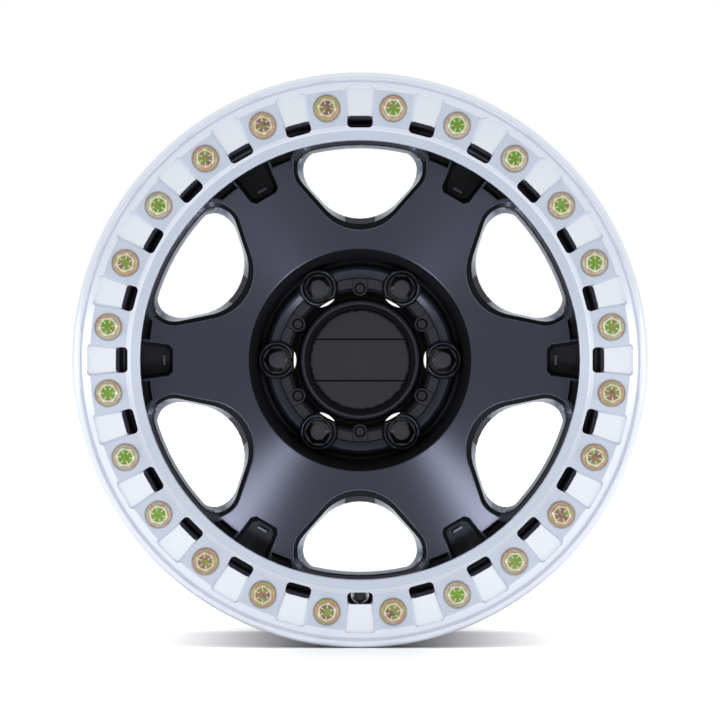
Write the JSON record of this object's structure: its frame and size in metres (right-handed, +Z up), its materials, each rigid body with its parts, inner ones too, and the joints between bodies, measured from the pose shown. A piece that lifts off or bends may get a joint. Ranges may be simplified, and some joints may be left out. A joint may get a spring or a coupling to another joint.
{
  "type": "beadlock wheel",
  "caption": "Cast six-spoke beadlock wheel with a bolted outer ring, pocketed between its bolts, and a flat centre cap. No tyre is fitted.",
  "frame": {"origin": "centre of the hub bore and of the lug circle, in the plane of the mounting face", "axes": "+Y along the axle towards the vehicle, so the outboard face looks along -Y; +Z up as pictured, with the valve at the bottom; +X to the right as seen from outboard"},
  "size_m": [0.4719, 0.2606, 0.472],
  "materials": {
    "satin_black": "cast and machined aluminium under satin black paint",
    "machined_ring": "bright, turned in fine circles, with milled pockets",
    "yellow_zinc": "steel, yellow zinc plated, iridescent green and red",
    "steel": "plain steel",
    "nut_black": "black plated steel",
    "cap_black": "machined aluminium under satin black paint",
    "plate_black": "satin black plate",
    "screw_black": "black oxide steel",
    "brass": "machined brass",
    "rubber": "matt black rubber",
    "nickel": "nickel plated",
    "black_plastic": "moulded black plastic"
  },
  "bodies": {
    "root": {"wheel_casting": "satin_black", "beadlock_ring": "machined_ring", "ring_bolts": "yellow_zinc", "thread_inserts": "steel", "lug_nuts": "nut_black", "centre_cap": "cap_black", "cap_medallion": "plate_black", "cap_screws": "screw_black", "valve_stem": "brass", "valve_seal": "rubber", "valve_washer": "nickel", "valve_nut": "nickel", "valve_core": "brass", "valve_cap": "black_plastic"}
  },
  "joints": []
}
